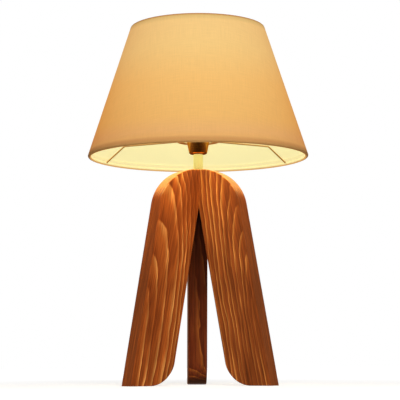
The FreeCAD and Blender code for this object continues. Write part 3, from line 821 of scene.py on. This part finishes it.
def arm(azimuth):
    """One arm, made along +X and then turned to its azimuth."""
    drop = Vector((bottom_circle - KNEE_RADIUS, 0, bottom_height - arm_height))
    knee_angle = math.atan2(-drop.z, drop.x)
    tangent = BEND_RADIUS * math.tan(knee_angle / 2)
    start = Vector((SPIDER_RADIUS - WELD_DEPTH, 0, arm_height))
    mesh = bmesh.new()
    bmesh.ops.create_circle(mesh, cap_ends=True, segments=16, radius=ARM_RADIUS * MM,
                            matrix=Matrix.Translation(start * MM) @ Matrix.Rotation(math.pi / 2, 4, "Y"))
    end = pushed(mesh, mesh.faces[:][0], ((KNEE_RADIUS - tangent - start.x) * MM, 0, 0))
    spun = bmesh.ops.spin(mesh, geom=[end] + end.edges[:] + end.verts[:], axis=(0, 1, 0), angle=knee_angle,
                          cent=((KNEE_RADIUS - tangent) * MM, 0, (arm_height - BEND_RADIUS) * MM), steps=8)
    end = picked(spun["geom_last"], BMFace)[0]
    pushed(mesh, end, drop.normalized() * (drop.length - tangent - BOTTOM_WIRE + WELD_DEPTH) * MM)
    close_up(mesh)
    turn_round(mesh, math.radians(azimuth - 90))
    return mesh


for side, azimuth in ARM_AZIMUTHS.items():
    piece("arm_" + side, arm(azimuth), brassed_wire, "shade", ["shade_arm_" + side])

# %% [markdown]
# ## Shade
# The shade is plain cotton cloth laminated on a smooth cream plastic. It is cut as part of a flat ring,
# rolled into a cone, lapped and glued at the back, and turned in over a wire at both rims. Each rim is one
# smooth roll of cloth, so the section is drawn as one line: round the lower wire, up the slope, round the
# upper wire. Then it is spun and given its thickness. The turned-in edge inside each rim is a strip of its
# own.

# %% Shade sizes
BOTTOM_RADIUS = 150.0
TOP_RADIUS = 92.5
CLOTH_WALL = 0.45
LINING_WALL = 0.5
LINING_OUTSET = 0.7  # mm from the cloth's face to the lining
HEM_RADIUS = {"bottom": 2.0, "top": 1.6}
TUCK_START = math.radians(105)  # where the outer cloth ends on the roll, past its lowest or highest point
TUCK_END = math.radians(258)  # where the turned-in edge leaves the roll for the lining
TUCK_RISE = 5.0  # mm of turned-in edge that lies on the lining
SHADE_STEPS = 160  # round the cone
shade_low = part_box("shade_bottom_hem")[0][2] / MM
shade_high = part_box("shade_top_hem")[1][2] / MM
rim_height = {"bottom": shade_low + HEM_RADIUS["bottom"], "top": shade_high - HEM_RADIUS["top"]}
rim_circle = {"bottom": BOTTOM_RADIUS - HEM_RADIUS["bottom"], "top": TOP_RADIUS - HEM_RADIUS["top"]}
slope = math.atan2(BOTTOM_RADIUS - TOP_RADIUS, rim_height["top"] - rim_height["bottom"])
slant = math.hypot(BOTTOM_RADIUS - TOP_RADIUS, rim_height["top"] - rim_height["bottom"])
apex = rim_height["bottom"] + BOTTOM_RADIUS / math.tan(slope)
print(f"slope {math.degrees(slope):.1f} degrees, slant {slant:.0f} mm")


def face_radius(height):
    """Radius of the cloth's outer face at a height."""
    return (apex - height) * math.tan(slope)


# %% Bend a line of cloth
ROLL_STEPS = 10


def roll(rim, start, end):
    """Points of an arc round a rim's wire. Angle 0 is outwards and a quarter turn is up."""
    angles = [start + (end - start) * step / ROLL_STEPS for step in range(ROLL_STEPS + 1)]
    return [(rim_circle[rim] + HEM_RADIUS[rim] * math.cos(angle),
             rim_height[rim] + HEM_RADIUS[rim] * math.sin(angle)) for angle in angles]


def spun_cloth(points):
    """Spin a line of (x, z) points about the axis and give the cloth its thickness on the hidden side."""
    mesh = bmesh.new()
    line = [mesh.verts.new((x * MM, 0, z * MM)) for x, z in points]
    for pair in zip(line, line[1:]):
        mesh.edges.new(pair)
    spin_round(mesh, SHADE_STEPS)
    bmesh.ops.remove_doubles(mesh, verts=mesh.verts, dist=MERGE_DISTANCE)
    outwards(mesh)
    bmesh.ops.solidify(mesh, geom=mesh.faces[:], thickness=CLOTH_WALL * MM)
    outwards(mesh)
    return mesh


def outer_cloth():
    """The cloth's outside: round under the lower wire, up the slope and over the upper wire."""
    return spun_cloth(roll("bottom", -TUCK_START, slope) + roll("top", slope, TUCK_START))


def turned_in_edge(rim, side):
    """The edge that is tucked behind a wire. Side is -1 at the lower rim and 1 at the upper one."""
    height = rim_height[rim] - side * (HEM_RADIUS[rim] + TUCK_RISE)
    end = (face_radius(height) - LINING_OUTSET - LINING_WALL - CLOTH_WALL, height)
    return spun_cloth(roll(rim, side * TUCK_START, side * TUCK_END) + [end])


def unroll(mesh):
    """A UV map in real metres: the cone rolled out flat, cut open at the back."""
    layer = mesh.loops.layers.uv.new("flat_cut")
    for face in mesh.faces:
        side = face.calc_center_median().x
        for loop in face.loops:
            spot = loop.vert.co
            turn = math.copysign(abs(math.atan2(spot.x, -spot.y)), side) * math.sin(slope)
            reach = (apex * MM - spot.z) / math.cos(slope)
            loop[layer].uv = (reach * math.sin(turn), -reach * math.cos(turn))


# %% [markdown]
# ## Lit cloth
# Light comes through cloth and lining, more where they are near the bulb. It could be traced through both,
# but arrives grainy. So the cloth glows by itself. Two scales of height say how: one for its colour in the
# studio's light and one for its glow. The rims are tan and hardly glow, because wires and double cloth hold
# the light back, and the turned-in edges have scales that join them there. Threads run straight in the flat
# cut, so the weave is drawn in the flat cut too. The lining is smooth cream plastic with an even glow.

# %% Shade cloth
THREAD_SPACING = 1.3  # mm; real threads lie 0.4 mm apart, too fine to show
SLUB_LENGTH = 24.0  # mm along a thick place in a thread
WEAVE_RANGE = (0.7, 1.3)  # where nearly all of the two thread noises' sum lies
WEAVE_RELIEF = 0.15  # mm


def shade_cloth(name, weave, tone_stops, glow_stops):
    """Cotton with its threads from the flat cut. Its colour and its glow go by scales of height."""
    cloth, shader, place = start_finish(name, {
        "Roughness": 0.9, "Specular IOR Level": 0.1, "Emission Strength": 1.0})
    cut = add(cloth, "UVMap", uv_map="flat_cut")
    threads = []
    for width, length in ((THREAD_SPACING, SLUB_LENGTH), (SLUB_LENGTH, THREAD_SPACING)):
        along = add(cloth, "Mapping", {"Vector": cut, "Scale": (1000 / width, 1000 / length, 1)})
        threads.append(add(cloth, "TexNoise", {"Vector": along, "Scale": 1.0, "Detail": 2.0}))
    cross = add(cloth, "Math ADD", threads)
    tone = add(cloth, "MapRange", [cross], span=(*WEAVE_RANGE, 1 - weave, 1 + weave))
    height = add(cloth, "SeparateXYZ", [place]).outputs["Z"]
    rise = add(cloth, "MapRange", [height], span=(shade_low * MM, shade_high * MM))
    for socket, stops in (("Base Color", tone_stops), ("Emission Color", glow_stops)):
        scale = add(cloth, "ValToRGB", [rise], stops=stops)
        woven = add(cloth, "VectorMath SCALE", {0: scale, "Scale": tone})
        join(cloth, shader, {socket: woven})
    bump = add(cloth, "Bump", {"Height": cross, "Strength": 0.25, "Distance": WEAVE_RELIEF * MM})
    join(cloth, shader, {"Normal": bump})
    return cloth


CLOTH_TONES = (  # a ramp is even before its first stop and after its last
    (0.016, "#cc985a"), (0.035, "#c0985e"), (0.09, "#b8a872"), (0.204, "#aaa26c"),
    (0.985, "#a6a06c"), (0.995, "#a87038"),
)
CLOTH_GLOW = (
    (0.014, "#2c1404"), (0.03, "#6b2a0a"), (0.05, "#9b5e28"), (0.09, "#a6500a"),
    (0.204, "#bb6b18"), (0.48, "#c47a2f"), (0.75, "#c68d50"), (0.95, "#c78f56"), (0.985, "#a8743a"),
    (0.995, "#6a3c18"),
)
LAP_TONES = ((0.0, "#a0925c"), (1.0, "#a0925c"))
LAP_GLOW = ((0.0, "#a4560e"), (0.5, "#b06c28"), (1.0, "#b37f4b"))
# The turned-in edges' cream tone is painted light: the bulb shines on them inside the rims.
EDGE_TONES = ((0.004, "#c89858"), (0.010, "#e6e0b8"))
EDGE_GLOW = ((0.004, "#b08850"), (0.010, "#b8b088"))
cloth_finish = shade_cloth("woven_cotton_lit", 0.035, CLOTH_TONES, CLOTH_GLOW)
lap_finish = shade_cloth("woven_cotton_double", 0.035, LAP_TONES, LAP_GLOW)
edge_finish = shade_cloth("woven_cotton_turned_in", 0.05, EDGE_TONES, EDGE_GLOW)

# %% Lining finish
cream, cream_shader, cream_place = start_finish("cream_laminate_lining", {
    "Base Color": "#e3e3c0", "Roughness": 0.45, "IOR": 1.5, "Emission Color": "#f9f2b9",
    "Emission Strength": 0.53})
cream_grain = add(cream, "TexNoise", {"Vector": cream_place, "Scale": 700.0, "Detail": 2.0})
cream_bump = add(cream, "Bump", {"Height": cream_grain, "Strength": 0.15, "Distance": 0.05 * MM})
join(cream, cream_shader, {"Normal": cream_bump})

# %% Cloth, lining and turned-in edges
cloth_mesh = outer_cloth()
unroll(cloth_mesh)
cloth = piece("shade_cloth", cloth_mesh, cloth_finish, "shade", ["shade_fabric"])
for rim, side in (("bottom", -1), ("top", 1)):
    edge_mesh = turned_in_edge(rim, side)
    unroll(edge_mesh)
    piece(f"{rim}_turned_in_edge", edge_mesh, edge_finish, "shade", [f"shade_{rim}_hem"])
lining_low = rim_height["bottom"] + HEM_RADIUS["bottom"]
lining_high = rim_height["top"] - HEM_RADIUS["top"]
lining_mesh = turned([(face_radius(height) - LINING_OUTSET - depth, height) for height, depth in (
    (lining_low, LINING_WALL), (lining_low, 0), (lining_high, 0), (lining_high, LINING_WALL))], SHADE_STEPS)
piece("shade_inner", lining_mesh, cream, "shade", ["shade_lining"])

# %% [markdown]
# ## Lap at the back
# The cloth's two ends overlap by 9 mm at the back. Two layers let less light through, so the lap shows as a
# darker stripe. It is a thin strip on the cone's face, its section swung through a small angle.

# %% Lap
LAP_WIDTH = 9.0
LAP_WALL = 0.35
LAP_CLEAR = 6.0  # mm that it stays short of the lower roll; above, half of it
lap_low = rim_height["bottom"] + LAP_CLEAR
lap_high = rim_height["top"] - LAP_CLEAR / 2
lap_angle = LAP_WIDTH / face_radius((lap_low + lap_high) / 2)
lap_mesh = swept([
    (face_radius(lap_low), lap_low), (face_radius(lap_low) + LAP_WALL, lap_low),
    (face_radius(lap_high) + LAP_WALL, lap_high), (face_radius(lap_high), lap_high),
], lap_angle, steps=4)
turn_round(lap_mesh, math.pi / 2 - lap_angle / 2)
unroll(lap_mesh)
lap = piece("shade_lap", lap_mesh, lap_finish, "shade", [])

# %% [markdown]
# ## Bulb
# A screw-in light bulb: a nickel-plated cap with a rolled thread, a moulded white housing and a frosted
# globe that glows softly. Cap and housing are turned outlines. The globe could be turned too, but two
# spheres cut off at the housing and bridged at their rims need less drawing.

# %% Bulb finishes
opal = start_finish("frosted_polycarbonate_globe", {
    "Base Color": "#fbf4e4", "Roughness": 0.5, "Emission Color": "#ffe9bd", "Emission Strength": 1.0})[0]
housing_white = start_finish("moulded_white_polycarbonate", {
    "Base Color": "#efece4", "Roughness": 0.4, "IOR": 1.58})[0]
nickel = lathed_metal("nickel_plated_cap", "#d6d1c6", 0.24, 0.01)

# %% Bulb shapes
BULB_STEPS = 72
CAP_RADIUS = 13.1
CAP_ROOT = 12.3
CAP_WALL = 0.4
CAP_PITCH = 3.62
CAP_TURNS = 3.5
CAP_RIM = 25.5
GLOBE_RADIUS = 30.0
GLOBE_WALL = 1.2
HOUSING_RADIUS = 26.1
HOUSING_WALL = 1.6
bulb_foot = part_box("bulb_tip_contact")[0][2] / MM
housing_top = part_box("bulb_housing")[1][2] / MM
globe_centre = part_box("bulb_globe")[1][2] / MM - GLOBE_RADIUS

cap = turned([
    (9.0, 4.6), (9.5, 4.6, 0.3), (CAP_ROOT, 7.5, 0.6), (CAP_ROOT, 22.5, 0.5), (CAP_RADIUS, 23.5, 0.3),
    (CAP_RADIUS, CAP_RIM), (CAP_RADIUS - CAP_WALL, CAP_RIM), (CAP_RADIUS - CAP_WALL, 23.8),
    (CAP_ROOT - CAP_WALL, 22.8), (CAP_ROOT - CAP_WALL, 7.9), (9.0, 5.0),
], BULB_STEPS, base=bulb_foot)
cap_thread = swept([
    (CAP_ROOT - 0.2, 7.6), (CAP_RADIUS, 8.4, 0.4), (CAP_RADIUS, 9.4, 0.4), (CAP_ROOT - 0.2, 10.2),
], FULL_TURN * CAP_TURNS, round(THREAD_STEPS * CAP_TURNS), rise=CAP_PITCH * CAP_TURNS, base=bulb_foot)
piece("cap", fuse([cap, cap_thread]), nickel, "bulb", ["bulb_cap"])

spigot = CAP_RADIUS - CAP_WALL - 0.1
inside = HOUSING_RADIUS - HOUSING_WALL
rise = housing_top - bulb_foot
piece("housing", turned([
    (spigot - HOUSING_WALL, 18.5), (spigot, 18.5), (spigot, CAP_RIM), (14.6, CAP_RIM, 0.5),
    (14.6, 31.0, 2.0), (20.5, 45.0, 4.0), (HOUSING_RADIUS, rise, 0.5), (inside, rise),
    (inside, rise - HOUSING_WALL), (inside - 2.0, rise - HOUSING_WALL), (18.9, 45.0),
    (spigot - HOUSING_WALL, 31.0),
], BULB_STEPS, base=bulb_foot), housing_white, "bulb", ["bulb_housing"])


def globe_shell():
    """A sphere cut off where it stands on the housing, with a second wall inside it."""
    walls = []
    for radius in (GLOBE_RADIUS, GLOBE_RADIUS - GLOBE_WALL):
        mesh = bmesh.new()
        bmesh.ops.create_uvsphere(mesh, u_segments=64, v_segments=40, radius=radius * MM,
                                  matrix=Matrix.Translation((0, 0, globe_centre * MM)))
        cut_off(mesh, (0, 0, housing_top * MM), (0, 0, -1))
        walls.append(mesh)
    whole = fuse(walls)
    bmesh.ops.bridge_loops(whole, edges=[edge for edge in whole.edges if edge.is_boundary])
    outwards(whole)
    return whole


piece("globe", globe_shell(), opal, "bulb", ["bulb_globe"])

# %% [markdown]
# ## The lamp's own light
# A warm point light of the globe's size lights the lamp's inside, because a light gives clean shadows where
# a glowing mesh gives grain. Much light bounces in the lining and leaves by the shade's mouth: a warm disk
# of light across the mouth stands for it.

# %% The light in the bulb and out of the shade's mouth
MOUTH_RADIUS = 125.0
bulb_lamp = unmirrored_light("bulb_light", "POINT", watts=0.45, code="#fff0c8",
                             shadow_soft_size=(GLOBE_RADIUS + 1) * MM)
mouth_lamp = unmirrored_light("mouth_light", "AREA", watts=0.38, code="#ffd696",
                              shape="DISK", size=2 * MOUTH_RADIUS * MM)
for lamp, height in ((bulb_lamp, globe_centre), (mouth_lamp, shade_low - 1)):
    lamp.location = (0, 0, height * MM)
    lamp.visible_camera = False
    print(f"{lamp.name}: {lamp.data.energy:.2f} W")

# %% [markdown]
# ## Pieces that keep their drawn shape
# Nuts, washers, contacts and boards are right as drawn. Each gets the finish of the real thing. Their
# meshes stay as they are. A Weld modifier joins their loose triangles, so that round faces can shade
# smoothly, and an Edge Split modifier keeps the sharp edges crisp.

# %% Small finishes
def speckled(name, inputs, light, dark, grain, relief):
    """A finish with a fine two-tone speckle, for plated, moulded and fired surfaces."""
    material, shader, place = start_finish(name, inputs)
    speckle = add(material, "TexNoise", {"Vector": place, "Scale": 1000 / grain, "Detail": 3.0})
    mix = add(material, "ValToRGB", [speckle], stops=list(zip(NOISE_RANGE, (dark, light))))
    bump = add(material, "Bump", {"Height": speckle, "Strength": 0.3, "Distance": relief * MM})
    join(material, shader, {"Base Color": mix, "Normal": bump})
    return material


def dress(names, finish):
    """Give drawn pieces their finish, and modifiers for smooth round faces and crisp edges."""
    for name in names:
        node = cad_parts[name]
        node.data.materials.clear()
        node.data.materials.append(finish)
        weld = node.modifiers.new("weld", "WELD")
        weld.merge_threshold = MERGE_DISTANCE
        creases = node.modifiers.new("creases", "EDGE_SPLIT")
        creases.split_angle = SHARP_ANGLE
        for face in node.data.polygons:
            face.use_smooth = True
    print(finish.name, "on", ", ".join(names))


GLOW = {"Emission Color": "#ffe9bd", "Emission Strength": 0.8}
SPECKLED = (  # finish, light and dark, grain and relief in mm, roughness, other inputs, nodes
    ("turned_beech", "#d9b384", "#c69a68", 0.8, 0.05, 0.6, {}, ["mitre_dowels"]),
    ("zinc_plated_steel", "#cfd2d6", "#a9adb3", 1.5, 0.01, 0.34, {"Metallic": 1.0},
     ["threaded_tube", "base_washer", "base_nut", "cup_lock_washer", "cup_lock_nut"]),
    ("moulded_black_nylon", "#26262a", "#1a1a1c", 0.6, 0.01, 0.5, {"IOR": 1.53}, ["cord_bushing"]),
    ("glazed_porcelain", "#f4f1e9", "#e9e4d8", 2.0, 0.01, 0.16, {"IOR": 1.52}, ["holder_insert"]),
    ("stamped_contact_brass", "#e3c067", "#c79f4c", 1.2, 0.01, 0.3, {"Metallic": 1.0},
     ["holder_screw_shell", "holder_centre_contact", "holder_terminal_screws"]),
    ("black_vitrite_glass", "#16161c", "#0d0d11", 2.0, 0.01, 0.08, {"IOR": 1.55}, ["bulb_insulator"]),
    ("green_circuit_board", "#2c7048", "#1c5234", 2.5, 0.03, 0.45, {}, ["bulb_driver_board"]),
    ("capacitor_sleeve", "#2a2f3d", "#20242f", 1.0, 0.01, 0.35, {}, ["bulb_driver_capacitor"]),
    ("white_light_board", "#f3f2ee", "#dcdad2", 2.5, 0.02, 0.4, {}, ["bulb_led_board"]),
    ("phosphor_chips", "#f2d565", "#e6c450", 0.5, 0.01, 0.5, GLOW, ["bulb_leds"]),
)
for name, light, dark, grain, relief, roughness, inputs, names in SPECKLED:
    dress(names, speckled(name, {"Roughness": roughness, **inputs}, light, dark, grain, relief))
dress(["shade_bottom_wire", "shade_top_wire"], brassed_wire)
dress(["bulb_tip_contact"], nickel)

# %% [markdown]
# ## Colour of the render
# The picture is plain: no film look.

# %% Render look
scene.view_settings.view_transform = "Standard"
